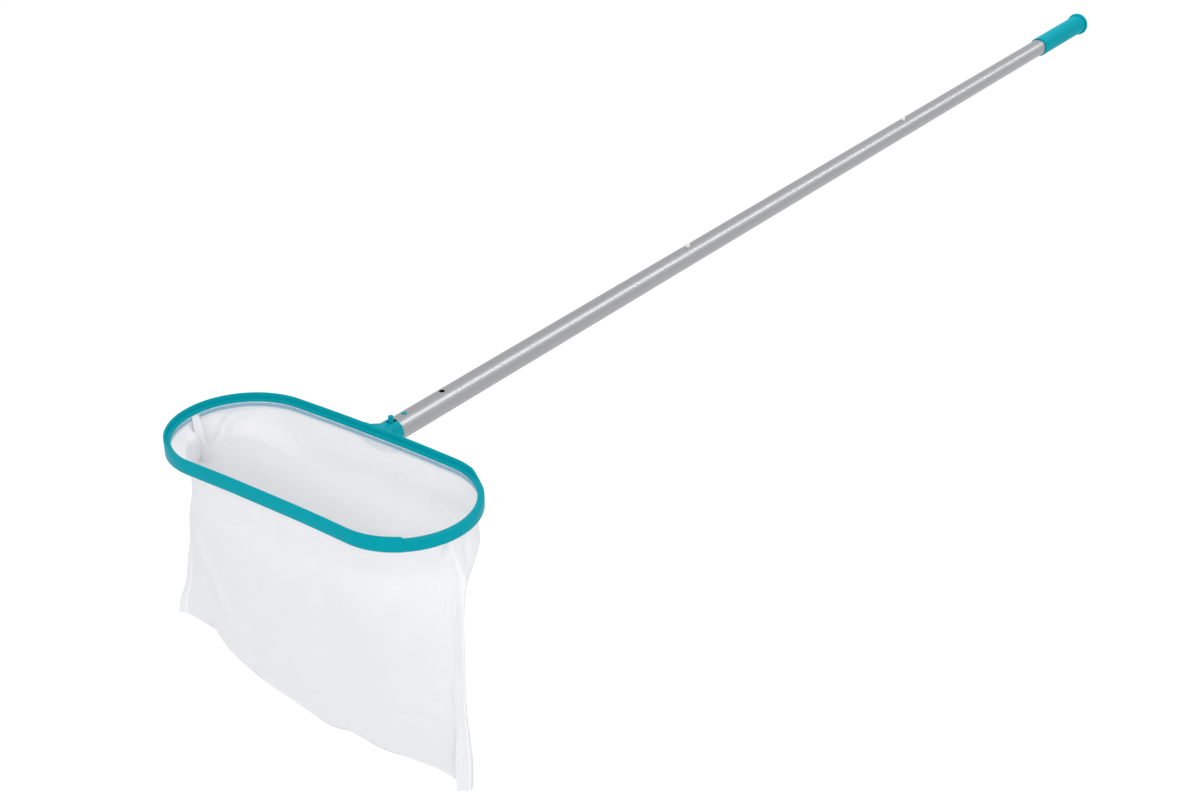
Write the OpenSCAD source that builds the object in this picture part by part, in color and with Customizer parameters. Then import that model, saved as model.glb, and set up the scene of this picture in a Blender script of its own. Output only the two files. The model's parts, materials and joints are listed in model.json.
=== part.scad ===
// Leaf skimmer net for a pool: a plastic hoop with a fine mesh bag, on a three-piece
// aluminium pole with a soft grip.
// The pole lies along Y with its axis at z = 0, and the origin is at the middle of the grip.
// The hoop is at the -Y end, level, with its long way along X, and the bag hangs towards -Z.
// Places along the pole are first worked out from the hoop's far wall, then moved by -grip_mid.

/* [Hoop] */
// Overall length of the hoop, along X
hoop_l = 436; // [340:2:600]
// Overall width of the hoop, along Y
hoop_w = 186; // [140:2:260]
// Height of the band, with its lip
band_h = 19; // [18:0.5:24]
// Thickness of the band's outer wall
band_t = 2.2; // [1.6:0.1:2.6]
// Width of the band's flat top
ledge_w = 8.4; // [8:0.1:11]
// Thickness of the flat top and of the inner skirt
skirt_t = 1.8; // [1.2:0.1:2]
// Height of the lip above the flat top
lip_h = 4.5; // [2:0.5:6]
// Depth of the inner skirt, from the top of the lip
skirt_h = 12; // [11.5:0.5:12.5]
// Height of the top of the lip above the pole's axis
lip_rise = 17.5; // [15:0.5:18]
// Where the near end of the lipped strip lies on the round end, as an angle
near_end_a = 47; // [30:1:70]
// Where the far end of the lipped strip lies on the round end, as an angle
far_end_a = 59; // [30:1:70]
// Length of the tongues that join the two hoop pieces
tongue_l = 12; // [6:1:14]

/* [Net] */
// Depth of the bag at its middle, from its mouth
bag_depth = 372; // [250:2:450]
// Rise of the bag's bottom corners above its lowest point
corner_rise = 44; // [20:2:60]
// Width of the bag along its bottom fold
bag_bottom_w = 492; // [440:2:540]
// Sideways shift of the bottom fold, because the bag hangs aslant
bag_sway = -40; // [-60:2:60]
// Thickness of the mesh
mesh_t = 0.8; // [0.6:0.1:1.2]
// Thickness of the bag at its bottom fold
fold_t = 6; // [5:0.5:8]
// Width of the side seams' allowance
seam_w = 14; // [8:1:20]
// Thickness of the side seams
seam_t = 1.6; // [1.2:0.1:3]
// Thickness of the strip inside the hem
strip_t = 1.6; // [1:0.1:1.8]
// Height of the strip inside the hem
strip_h = 8; // [6:0.5:8.5]

/* [Pole] */
// Outer diameter of the pole
pole_d = 30; // [28:0.5:32]
// Wall of the tubes
tube_t = 1.2; // [1:0.1:1.5]
// Length of the lower tube
lower_l = 677; // [500:1:900]
// Length of the middle tube, with its narrowed end
middle_l = 726; // [500:1:900]
// Length of the upper tube, with its narrowed end
upper_l = 752; // [500:1:900]
// Length of each narrowed end, which slides into the tube before it
engage_l = 70; // [66:1:100]
// Distance from a tube's upper end to the snap button's hole
button_back = 45; // [40:1:48]
// Diameter of the pole's cross holes
hole_d = 7.5; // [7:0.1:8]
// Distance from the lower tube's end to the latch's hole
latch_in = 17.5; // [14:0.5:22]
// Distance from the latch's hole to the spare hole
spare_pitch = 70; // [66:1:90]

/* [Grip] */
// Length of the grip
grip_l = 185; // [120:5:250]
// Outer diameter of the grip
grip_d = 35; // [34:0.5:40]
// Diameter of the flange at the grip's end
flange_d = 42; // [41:1:50]
// Thickness of the flange
flange_t = 6; // [5:0.5:10]
// Thickness of the grip's closed end
grip_end_t = 5; // [3:0.5:8]

/* [Socket and latch] */
// Length of the collar between the hoop and the pole
collar_l = 30; // [28:1:40]
// Length of the spigot inside the pole
spigot_l = 66; // [64:1:72]
// Width of the saddle against the hoop
saddle_w = 58; // [56:2:70]
// Thickness of the saddle
saddle_t = 3; // [2.5:0.5:5]
// Distance between the two saddle screws
screw_pitch = 44; // [44:1:48]
// Diameter of the saddle screws' thread
screw_d = 3; // [2.5:0.5:3.5]
// Distance of the release knob from the hoop
knob_at = 24; // [23.5:0.5:25]
// Diameter of the release knob
knob_d = 6.6; // [5:0.2:7]
// Height of the release knob's top above the pole's axis
knob_top = 22; // [19:0.5:24]
// Width of the latch tongue
tongue_w = 7.5; // [6.5:0.5:8]
// Thickness of the latch tongue
tongue_t = 2.2; // [1.8:0.1:2.6]
// Diameter of the latch tongue's root pin
root_d = 4.4; // [4:0.1:4.8]

/* [Snap buttons] */
// Height of the snap buttons above the pole's surface
button_proud = 4.5; // [3:0.5:5]
// Width of the leaf springs
leaf_w = 7; // [5:0.5:8]
// Thickness of the leaf springs
leaf_t = 0.6; // [0.4:0.1:0.8]
// Length of the leaf springs
leaf_l = 44; // [38:1:46]

/* [Hidden] */

$fn = 96;

// Clearances
slip = 0.2;
snug = 0.1;
running = 0.05;
past = 1;

// Places along the pole, from the hoop's far wall
lower_at = collar_l;
lower_end = lower_at + lower_l;
middle_at = lower_end - engage_l;
middle_end = middle_at + middle_l;
upper_at = middle_end - engage_l;
upper_end = upper_at + upper_l;
grip_end = upper_end + grip_end_t;
grip_mid = grip_end - grip_l / 2;
latch_at = lower_at + latch_in;
spare_at = latch_at + spare_pitch;
lower_button_at = lower_end - button_back;
upper_button_at = middle_end - button_back;

// Pole radii
pole_r = pole_d / 2;
bore_r = pole_r - tube_t;
swage_r = bore_r - slip;
swage_bore_r = swage_r - tube_t;
swage_taper = 4;

// Hoop outline: two straight sides and two half-round ends
end_r = hoop_w / 2;
side_half = hoop_l / 2 - end_r;
hoop_y = -end_r;

// Band section, as depth below the top of the lip
ledge_v = -lip_h;
ledge_under_v = ledge_v - skirt_t;
tongue_h = 2.4;
tongue_lap = 0.5;
tongue_u0 = band_t + slip;
tongue_u1 = ledge_w - skirt_t - slip;
hem_t = 0.8;
hem_lift = 0.4;
hem_bottom_v = -band_h + hem_lift;
strip_bottom_v = hem_bottom_v + hem_t + snug;
strip_top_v = strip_bottom_v + strip_h;
hem_mid_u = (band_t + ledge_w - skirt_t) / 2;
strip_u0 = hem_mid_u - strip_t / 2;
strip_u1 = hem_mid_u + strip_t / 2;

// Bag: rings from the mouth to the bottom fold
end_steps = 8;
side_steps = 6;
bag_rings = 6;
bag_top_v = hem_bottom_v - slip;
fold_half = bag_bottom_w / 2;
seam_gap = 0.3;
seam_drop = 3;
seam_top_share = 0.3;

// Latch
channel_side = 0.75;
channel_w = tongue_w + 2 * channel_side;
knob_room = 3;
channel_start = knob_at - knob_d / 2 - knob_room;
channel_floor = 3;
root_back = 10;
root_at = lower_at + spigot_l - root_back;
root_room = 1;
channel_end = root_at + root_d / 2 + root_room;
root_z = 8.5;
lock_slack = 0.35;
lock_d = hole_d - 2 * lock_slack;
lock_proud = 0.4;
lock_top = pole_r + lock_proud;
spigot_wall = 2.4;
root_pin_l = 14.8;

// Saddle and collar ribs
saddle_bottom = -pole_r + saddle_t;
saddle_top = lip_rise - 1;
flare = 2;
flare_end = 15;
rib_a = 50;
rib_w = 2.2;
rib_h = 0.8;
rib_l = 15;

// Saddle screws
screw_z = 6;
screw_head_d = 6;
screw_head_h = 2;
screw_tip = 0.3;
screw_l = saddle_t + band_t + screw_tip;

// Snap buttons
button_slack = 0.4;
button_d = hole_d - 2 * button_slack;
button_foot_d = 10;
button_foot_t = 1.2;
foot_top = sqrt(swage_bore_r * swage_bore_r - button_foot_d * button_foot_d / 4) - slip;
foot_under = foot_top - button_foot_t;
leaf_reach_share = 0.75;
leaf_floor = -sqrt(swage_bore_r * swage_bore_r - leaf_w * leaf_w / 4) + snug;

module at_pole(s) { translate([0, s - grip_mid, 0]) children(); }
module along_pole() { rotate([-90, 0, 0]) children(); }
module at_hoop() { translate([0, hoop_y - grip_mid, lip_rise]) children(); }

// A section point has u inwards from the hoop's outer face and v up from the top of the lip
function from_face(points) = [for (p = points) [end_r - p[0], p[1]]];

// An arc of the hoop's +X end, from its long side at +Y round through a
module end_arc(a, points) {
    translate([side_half, 0, 0])
        mirror([1, 0, 0])
            rotate([0, 0, 90])
                rotate_extrude(angle = a)
                    polygon(from_face(points));
}

// The long side at +Y
module side(points) {
    translate([-side_half, 0, 0])
        rotate([90, 0, 90])
            linear_extrude(2 * side_half)
                polygon(from_face(points));
}

// Both long sides and the round end at -X
module all_but_one_end(points) {
    side(points);
    mirror([0, 1, 0]) side(points);
    mirror([1, 0, 0]) end_arc(180, points);
}

// The band's section below its top, which every stretch of the hoop has
channel_section = [
    [ledge_w, ledge_v],
    [ledge_w, -skirt_h],
    [ledge_w - skirt_t, -skirt_h],
    [ledge_w - skirt_t, ledge_under_v],
    [band_t, ledge_under_v],
    [band_t, -band_h],
    [0, -band_h]
];
lipped_section = concat([[0, 0], [band_t, 0], [band_t, ledge_v]], channel_section);
flat_section = concat([[0, ledge_v]], channel_section);
hem_section = [
    [strip_u0 - snug - hem_t, strip_top_v],
    [strip_u0 - snug - hem_t, hem_bottom_v],
    [strip_u1 + snug + hem_t, hem_bottom_v],
    [strip_u1 + snug + hem_t, strip_top_v],
    [strip_u1 + snug, strip_top_v],
    [strip_u1 + snug, hem_bottom_v + hem_t],
    [strip_u0 - snug, hem_bottom_v + hem_t],
    [strip_u0 - snug, strip_top_v]
];

function box_section(u0, u1, v0, v1) = [[u0, v0], [u1, v0], [u1, v1], [u0, v1]];

tongue_top_v = ledge_under_v - slip;
tongue_section = box_section(tongue_u0, tongue_u1, tongue_top_v - tongue_h, tongue_top_v);
tongue_root_section = box_section(
    band_t - tongue_lap, ledge_w - skirt_t + tongue_lap,
    tongue_top_v - tongue_h, ledge_under_v + tongue_lap
);
strip_section = box_section(strip_u0, strip_u1, strip_bottom_v, strip_top_v);

// The angle that a length takes up on the round end
function arc_a(length) = length / end_r * 180 / PI;

module hoop_strip() {
    color("#0a9fae")
        difference() {
            at_hoop() {
                all_but_one_end(lipped_section);
                end_arc(90 - far_end_a, lipped_section);
                mirror([0, 1, 0]) end_arc(90 - near_end_a, lipped_section);
            }
            at_pole(0) screw_holes(-band_t - past, band_t + 2 * past);
        }
}

// The tongue at one end of the hoop's end piece, with its root under the flat top
module end_tongue(end_a) {
    reach = arc_a(tongue_l);
    translate([side_half, 0, 0]) {
        rotate([0, 0, end_a - reach])
            rotate_extrude(angle = reach - 2 * arc_a(slip))
                polygon(from_face(tongue_root_section));
        rotate([0, 0, end_a - reach / 2])
            rotate_extrude(angle = 3 * reach / 2)
                polygon(from_face(tongue_section));
    }
}

module hoop_end() {
    gap = arc_a(slip);
    color("#15a8b4")
        at_hoop() {
            translate([side_half, 0, 0])
                rotate([0, 0, -near_end_a + gap])
                    rotate_extrude(angle = near_end_a + far_end_a - 2 * gap)
                        polygon(from_face(flat_section));
            end_tongue(far_end_a);
            mirror([0, 1, 0]) end_tongue(near_end_a);
        }
}

// Clearance holes for the saddle screws, from s along the pole
module screw_holes(s, length) {
    for (x = [-1, 1])
        translate([x * screw_pitch / 2, s, screw_z])
            along_pole()
                cylinder(d = screw_d + snug, h = length);
}

// Flat strip inside the hem, with its two ends meeting at the +X end
module hem_strip() {
    color("#128c99")
        at_hoop() {
            all_but_one_end(strip_section);
            end_arc(90 - arc_a(slip), strip_section);
            mirror([0, 1, 0]) end_arc(90 - arc_a(slip), strip_section);
        }
}

module net_hem() {
    color("#c9dde6")
        at_hoop() {
            all_but_one_end(hem_section);
            end_arc(180, hem_section);
        }
}

// A quarter of the hoop's outline at depth u, from its end to the middle of its long side,
// with each point's distance along the outline
function quarter_outline(u) =
    let (r = end_r - u, end_length = r * PI / 2)
    concat(
        [for (i = [0:end_steps - 1])
            let (a = 90 * i / end_steps)
            [side_half + r * cos(a), r * sin(a), end_length * i / end_steps]],
        [for (i = [0:side_steps])
            let (k = i / side_steps)
            [side_half * (1 - k), r, end_length + side_half * k]]
    );

// The bag's ring at a share t of its depth: the mouth's outline drawn out to the flat fold
function ring_point(p, sx, sy, length, t, inset) =
    let (
        fold_x = (fold_half - inset) * (1 - p[2] / length),
        fold_y = (fold_t / 2 - inset) * sqrt(1 - pow(fold_x / fold_half, 2)),
        drop = bag_depth - corner_rise * pow(fold_x / fold_half, 2) - inset
    )
    [sx * (p[0] * (1 - t) + fold_x * t) + bag_sway * t,
     sy * (p[1] * (1 - t) + fold_y * t),
     bag_top_v - drop * t];

function ring(t, inset) =
    let (
        q = quarter_outline(hem_mid_u + inset),
        last = len(q) - 1,
        length = q[last][2]
    )
    concat(
        [for (i = [0:last - 1]) ring_point(q[i], 1, 1, length, t, inset)],
        [for (i = [last:-1:1]) ring_point(q[i], -1, 1, length, t, inset)],
        [for (i = [0:last - 1]) ring_point(q[i], -1, -1, length, t, inset)],
        [for (i = [last:-1:1]) ring_point(q[i], 1, -1, length, t, inset)]
    );

// Triangles between ring a and ring b, each a first point's number
function band_faces(a, b, n) =
    [for (i = [0:n - 1])
        let (j = (i + 1) % n)
        each [[a + i, a + j, b + j], [a + i, b + j, b + i]]];

// Triangles that close a ring whose front and back points lie opposite each other
function fold_faces(a, n) =
    [for (i = [0:n / 2 - 1])
        let (k = (n - i) % n, j = i + 1, m = n - j)
        each (i == 0 ? [[a, a + j, a + m]]
            : (j == m ? [[a + i, a + j, a + k]]
            : [[a + i, a + j, a + m], [a + i, a + m, a + k]]))];

function turned(faces) = [for (f = faces) [f[2], f[1], f[0]]];

module net_bag() {
    outer = [for (k = [0:bag_rings]) ring(k / bag_rings, 0)];
    inner = [for (k = [0:bag_rings]) ring(k / bag_rings, mesh_t)];
    n = len(outer[0]);
    inside = n * (bag_rings + 1);
    points = concat([for (r = outer) each r], [for (r = inner) each r]);
    faces = concat(
        [for (k = [0:bag_rings - 1]) each band_faces(k * n, (k + 1) * n, n)],
        fold_faces(bag_rings * n, n),
        [for (k = [0:bag_rings - 1])
            each turned(band_faces(inside + k * n, inside + (k + 1) * n, n))],
        turned(fold_faces(inside + bag_rings * n, n)),
        turned(band_faces(0, inside, n))
    );
    color("#eef1f3")
        at_hoop()
            polyhedron(points, faces);
}

// A side seam's allowance, from just under the hoop to the bag's bottom corner
module side_seam(side) {
    mouth_x = hoop_l / 2 - hem_mid_u;
    corner_drop = bag_depth - corner_rise;
    start = seam_drop / corner_drop;
    x0 = side * (mouth_x + (fold_half - mouth_x) * start + seam_gap) + bag_sway * start;
    x1 = side * (fold_half + seam_gap) + bag_sway;
    z0 = bag_top_v - seam_drop;
    z1 = bag_top_v - corner_drop;
    color("#f7f8f9")
        at_hoop()
            rotate([90, 0, 0])
                linear_extrude(seam_t, center = true)
                    polygon([
                        [x0, z0],
                        [x1, z1],
                        [x1 + side * seam_w, z1],
                        [x0 + side * seam_w * seam_top_share, z0]
                    ]);
}

module left_seam() { side_seam(-1); }
module right_seam() { side_seam(1); }

module collar_ribs() {
    for (a = [-rib_a, rib_a])
        rotate([0, a, 0])
            translate([-rib_w / 2, collar_l - rib_l, pole_r - past])
                cube([rib_w, rib_l, past + rib_h]);
}

module saddle() {
    translate([-saddle_w / 2, snug, saddle_bottom])
        cube([saddle_w, saddle_t, saddle_top - saddle_bottom]);
    hull() {
        translate([-pole_r - flare, snug, saddle_bottom])
            cube([pole_d + 2 * flare, saddle_t, pole_r - saddle_bottom]);
        translate([0, snug, 0])
            along_pole()
                cylinder(r = pole_r, h = flare_end, $fn = 32);
    }
}

// Opening along the top of the collar and spigot, in which the latch tongue moves
module latch_channel() {
    translate([-channel_w / 2, channel_start, channel_floor])
        cube([channel_w, channel_end - channel_start, pole_r + past]);
}

// Half-round hollow in the underside of the spigot, open at its inner end
module spigot_hollow() {
    translate([0, collar_l, 0])
        intersection() {
            along_pole()
                cylinder(r = bore_r - slip - spigot_wall, h = spigot_l + past);
            translate([-pole_r, 0, -pole_r])
                cube([pole_d, spigot_l + past, pole_r + channel_floor - spigot_wall]);
        }
}

module pole_socket() {
    color("#0a9fae")
        at_pole(0)
            difference() {
                union() {
                    saddle();
                    translate([0, snug, 0])
                        along_pole()
                            cylinder(d = pole_d, h = collar_l - snug - running);
                    collar_ribs();
                    translate([0, collar_l - past, 0])
                        along_pole()
                            cylinder(r = bore_r - slip, h = spigot_l + past);
                }
                latch_channel();
                translate([0, root_at, root_z])
                    rotate([0, 90, 0])
                        cylinder(d = root_d + 2 * running, h = pole_d, center = true);
                spigot_hollow();
                screw_holes(-past, saddle_t + 2 * past);
            }
}

module socket_screws() {
    color("#c8ccd0")
        at_pole(0)
            for (x = [-1, 1])
                translate([x * screw_pitch / 2, saddle_t + snug + running, screw_z])
                    along_pole() {
                        cylinder(d = screw_head_d, h = screw_head_h);
                        translate([0, 0, -screw_l])
                            cylinder(d = screw_d, h = screw_l + past);
                    }
}

module latch_tongue() {
    dome = knob_d / 6;
    color("#0a9fae")
        at_pole(0) {
            translate([-tongue_w / 2, knob_at - knob_d / 2 - snug, root_z - tongue_t / 2])
                cube([tongue_w, root_at - knob_at + knob_d / 2, tongue_t]);
            translate([0, root_at, root_z])
                rotate([0, 90, 0])
                    cylinder(d = root_d, h = root_pin_l, center = true);
            translate([0, knob_at, root_z])
                cylinder(d = knob_d, h = knob_top - dome - root_z);
            translate([0, knob_at, knob_top - dome])
                button_dome(knob_d, dome);
            translate([0, latch_at, root_z])
                cylinder(d = lock_d, h = lock_top - root_z);
        }
}

// A button's rounded top: a flat centre with a quarter-round edge
module button_dome(d, h) {
    rotate_extrude()
        union() {
            square([d / 2 - h, h]);
            intersection() {
                translate([d / 2 - h, 0]) circle(h);
                square([d / 2, h]);
            }
        }
}

module cross_hole(s, d, through) {
    translate([0, s, through ? -pole_r - past : 0])
        cylinder(d = d, h = through ? pole_d + 2 * past : pole_r + past);
}

module lower_tube() {
    color("#b9bcbf")
        at_pole(0)
            difference() {
                translate([0, lower_at, 0])
                    along_pole()
                        difference() {
                            cylinder(r = pole_r, h = lower_l);
                            translate([0, 0, -past])
                                cylinder(r = bore_r, h = lower_l + 2 * past);
                        }
                cross_hole(latch_at, hole_d, true);
                cross_hole(spare_at, hole_d, true);
                cross_hole(lower_button_at, hole_d, false);
            }
}

// A tube whose lower end is narrowed, so that it slides into the tube before it
module narrowed_tube(length) {
    along_pole()
        rotate_extrude()
            polygon([
                [swage_bore_r, 0],
                [swage_r, 0],
                [swage_r, engage_l],
                [pole_r, engage_l],
                [pole_r, length],
                [bore_r, length],
                [bore_r, engage_l + swage_taper],
                [swage_bore_r, engage_l - swage_taper]
            ]);
}

module middle_tube() {
    color("#b9bcbf")
        at_pole(0)
            difference() {
                translate([0, middle_at, 0]) narrowed_tube(middle_l);
                cross_hole(lower_button_at, hole_d, false);
                cross_hole(upper_button_at, hole_d, false);
            }
}

module upper_tube() {
    color("#b9bcbf")
        at_pole(0)
            difference() {
                translate([0, upper_at, 0]) narrowed_tube(upper_l);
                cross_hole(upper_button_at, hole_d, false);
            }
}

module snap_button(s) {
    dome = button_d / 4;
    color("#f4f4f2")
        at_pole(s) {
            translate([0, 0, foot_under]) cylinder(d = button_foot_d, h = button_foot_t);
            translate([0, 0, foot_under])
                cylinder(d = button_d, h = pole_r + button_proud - dome - foot_under);
            translate([0, 0, pole_r + button_proud - dome]) button_dome(button_d, dome);
        }
}

// Leaf spring bent to a V: one leg lies on the tube's floor, the other lifts the button's foot
module leaf_spring(s) {
    bend_r = 1.5;
    bend_z = leaf_floor + bend_r;
    reach = leaf_l * leaf_reach_share;
    rise = foot_under - slip - bend_z - bend_r;
    lift_a = atan(rise / reach);
    lift_l = sqrt(rise * rise + reach * reach);
    color("#c9ccd1")
        at_pole(s)
            translate([-leaf_w / 2, -reach, 0])
                rotate([90, 0, 90])
                    linear_extrude(leaf_w) {
                        translate([0, leaf_floor]) square([leaf_l, leaf_t]);
                        translate([0, bend_z])
                            difference() {
                                circle(bend_r);
                                circle(bend_r - leaf_t);
                                translate([0, -bend_r]) square([bend_r, 2 * bend_r]);
                            }
                        translate([0, bend_z + bend_r - leaf_t])
                            rotate(lift_a) square([lift_l, leaf_t]);
                    }
}

module lower_snap_button() { snap_button(lower_button_at); }
module lower_button_spring() { leaf_spring(lower_button_at); }
module upper_snap_button() { snap_button(upper_button_at); }
module upper_button_spring() { leaf_spring(upper_button_at); }

module grip() {
    sleeve_r = grip_d / 2;
    rim = 1;
    flange_r = flange_d / 2;
    round_r = flange_t / 2;
    color("#1aa7b8")
        translate([0, -grip_l / 2, 0])
            along_pole()
                difference() {
                    union() {
                        cylinder(r1 = sleeve_r - rim, r2 = sleeve_r, h = rim);
                        translate([0, 0, rim])
                            cylinder(r = sleeve_r, h = grip_l - flange_t - rim);
                        translate([0, 0, grip_l - round_r])
                            rotate_extrude()
                                union() {
                                    translate([0, -round_r]) square([flange_r - round_r, flange_t]);
                                    translate([flange_r - round_r, 0]) circle(round_r);
                                }
                    }
                    translate([0, 0, -past])
                        cylinder(r = pole_r + snug, h = grip_l - grip_end_t + past);
                }
}

hoop_strip();
hoop_end();
hem_strip();
net_hem();
net_bag();
left_seam();
right_seam();
pole_socket();
socket_screws();
latch_tongue();
lower_tube();
middle_tube();
upper_tube();
lower_snap_button();
lower_button_spring();
upper_snap_button();
upper_button_spring();
grip();
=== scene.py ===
import json
import math

import bmesh
import bpy
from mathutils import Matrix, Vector, noise

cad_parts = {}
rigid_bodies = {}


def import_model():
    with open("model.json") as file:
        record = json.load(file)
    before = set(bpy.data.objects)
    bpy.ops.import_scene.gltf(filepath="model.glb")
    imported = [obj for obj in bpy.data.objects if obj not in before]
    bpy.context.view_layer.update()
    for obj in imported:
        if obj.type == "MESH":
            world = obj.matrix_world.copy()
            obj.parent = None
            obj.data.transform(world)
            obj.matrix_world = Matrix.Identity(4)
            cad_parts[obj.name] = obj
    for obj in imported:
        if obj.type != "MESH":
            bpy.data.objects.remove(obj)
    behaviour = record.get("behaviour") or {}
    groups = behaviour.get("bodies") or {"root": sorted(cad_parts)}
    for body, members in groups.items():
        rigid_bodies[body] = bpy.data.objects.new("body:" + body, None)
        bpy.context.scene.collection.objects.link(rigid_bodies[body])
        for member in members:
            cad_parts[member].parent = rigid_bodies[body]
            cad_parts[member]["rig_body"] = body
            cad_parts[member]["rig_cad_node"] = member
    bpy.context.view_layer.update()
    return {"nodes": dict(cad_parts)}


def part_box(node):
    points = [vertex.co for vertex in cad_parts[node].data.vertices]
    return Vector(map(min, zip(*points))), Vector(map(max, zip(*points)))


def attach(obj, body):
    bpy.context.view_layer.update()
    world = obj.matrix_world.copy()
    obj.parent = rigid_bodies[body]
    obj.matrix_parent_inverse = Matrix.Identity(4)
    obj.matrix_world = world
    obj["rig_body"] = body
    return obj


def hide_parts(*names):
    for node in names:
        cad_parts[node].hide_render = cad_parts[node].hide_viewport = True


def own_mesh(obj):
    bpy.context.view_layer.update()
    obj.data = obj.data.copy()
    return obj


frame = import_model()
nodes = frame["nodes"]
scene = bpy.context.scene


# ---- small helpers for meshes and materials

copies = {
    "weld": 0.000004,   # distance within which a copied node's vertices are joined
    "flatAngle": 0.4,   # degrees up to which its faces count as one flat face
    "sweepWeld": 0.000002,  # the same distance in a swept piece
}


def ease(value):
    # 0 to 1 with a soft start and end
    value = min(1, max(0, value))
    return value * value * (3 - 2 * value)


def deselectAll():
    if bpy.context.object and bpy.context.object.mode != "OBJECT":
        bpy.ops.object.mode_set(mode="OBJECT")
    bpy.ops.object.select_all(action="DESELECT")


def pickOnly(piece):
    deselectAll()
    piece.hide_viewport = False
    piece.select_set(True)
    bpy.context.view_layer.objects.active = piece


def editAll(piece):
    pickOnly(piece)
    bpy.ops.object.mode_set(mode="EDIT")
    bpy.ops.mesh.select_all(action="SELECT")


def endEdit():
    bpy.ops.object.mode_set(mode="OBJECT")


def addObject(name, data):
    added = bpy.data.objects.new(name, data)
    scene.collection.objects.link(added)
    return added


def nameNew(name):
    piece = bpy.context.object
    piece.name = name
    piece.data.name = name
    return piece


def applyModifier(piece, kind, **settings):
    pickOnly(piece)
    modifier = piece.modifiers.new(kind.lower(), kind)
    for key, value in settings.items():
        setattr(modifier, key, value)
    bpy.ops.object.modifier_apply(modifier=modifier.name)


def smoothPiece(piece, angle=34):
    pickOnly(piece)
    bpy.ops.object.shade_smooth_by_angle(angle=math.radians(angle))


def roundEdges(piece, width, segments=2, angle=38):
    # real mouldings and cut tubes never have a sharp edge
    applyModifier(piece, "BEVEL", width=width, segments=segments, limit_method="ANGLE",
                  angle_limit=math.radians(angle), use_clamp_overlap=True, miter_outer="MITER_ARC")
    smoothPiece(piece)


def faceOutwards(piece):
    editAll(piece)
    bpy.ops.mesh.normals_make_consistent(inside=False)
    endEdit()


def copyNode(node, name):
    # a merged copy of a CAD node, with its flat faces made whole
    piece = nodes[node].copy()
    piece.data = nodes[node].data.copy()
    piece.parent = None
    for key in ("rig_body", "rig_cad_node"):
        if key in piece:
            del piece[key]
    scene.collection.objects.link(piece)
    piece.name = name
    piece.data.name = name
    editAll(piece)
    bpy.ops.mesh.customdata_custom_splitnormals_clear()
    bpy.ops.mesh.remove_doubles(threshold=copies["weld"])
    bpy.ops.mesh.dissolve_limited(angle_limit=math.radians(copies["flatAngle"]))
    endEdit()
    return piece


def dress(piece, material, slot):
    piece.data.materials.clear()
    piece.data.materials.append(material)


def makeGroup(name, inputs, outputs):
    # inputs with their values: four numbers are a colour
    group = bpy.data.node_groups.new(name, "ShaderNodeTree")
    for title, value in inputs.items():
        kind = "Color" if isinstance(value, tuple) else "Float"
        socket = group.interface.new_socket(name=title, in_out="INPUT", socket_type="NodeSocket" + kind)
        socket.default_value = value
    for title, kind in outputs.items():
        group.interface.new_socket(name=title, in_out="OUTPUT", socket_type="NodeSocket" + kind)
    start = group.nodes.new("NodeGroupInput")
    end = group.nodes.new("NodeGroupOutput")
    return group, start, end


def setInputs(node, values):
    for key, value in values.items():
        node.inputs[key].default_value = value


def addNode(tree, kind, **values):
    node = tree.nodes.new(kind)
    for key, value in values.items():
        if hasattr(node, key):
            setattr(node, key, value)
        else:
            node.inputs[key.replace("_", " ")].default_value = value
    return node


def mathNode(tree, operation, first, second=0.5):
    node = tree.nodes.new("ShaderNodeMath")
    node.operation = operation
    for socket, value in zip(node.inputs, (first, second)):
        if isinstance(value, (int, float)):
            socket.default_value = value
        else:
            tree.links.new(value, socket)
    return node.outputs[0]


def addNoise(tree, vector, **values):
    texture = addNode(tree, "ShaderNodeTexNoise", **values)
    tree.links.new(vector, texture.inputs["Vector"])
    return texture.outputs["Fac"]


def swing(tree, value, amount):
    # a value's way up and down from a half, times an amount
    return mathNode(tree, "MULTIPLY", mathNode(tree, "SUBTRACT", value, 0.5), amount)


def tint(tree, colour, change, end):
    # the colour made lighter or darker by a change about 0
    mix = addNode(tree, "ShaderNodeMix", data_type="RGBA", blend_type="MULTIPLY")
    mix.inputs["Factor"].default_value = 1.0
    tree.links.new(colour, mix.inputs["A"])
    tree.links.new(mathNode(tree, "ADD", change, 1.0), mix.inputs["B"])
    tree.links.new(mix.outputs["Result"], end.inputs["Colour"])


def addBump(tree, height, end, **values):
    bump = addNode(tree, "ShaderNodeBump", **values)
    tree.links.new(height, bump.inputs["Height"])
    tree.links.new(bump.outputs["Normal"], end.inputs["Normal"])
    return bump


def flatMeasure(tree):
    # the cloth's own flat measure in metres, whole and split
    measure = tree.nodes.new("ShaderNodeUVMap")
    measure.uv_map = "flat"
    split = tree.nodes.new("ShaderNodeSeparateXYZ")
    tree.links.new(measure.outputs["UV"], split.inputs[0])
    return measure.outputs["UV"], split.outputs


# ---- shared finishes

finishes = {
    "scuff": 0.16,          # how far scuffs move the roughness of a plastic
    "cloud": 0.05,          # how far a tube's cloudiness moves its colour
    "lineRoughness": 0.6,   # how far a tube's lines move its roughness
    "lineStretch": 0.006,
    "thread": (0.15, 0.6),  # edge of the net's threads, of the way from a hole to a thread
    "slub": 0.06,
    "doubled": 0.97,        # cover of two layers of net
    "teeth": 0.0012,        # height of the hem's serrated line
    "edge": (0.0015, 0.8),  # height and strength of the hem's pale edge
    "stitch": (0.00022, 0.35),  # the same of its sewn line
}
surfaceOut = {"Colour": "Color", "Roughness": "Float", "Normal": "Vector"}
clothOut = {"Colour": "Color", "Alpha": "Float", "Normal": "Vector"}


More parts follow.
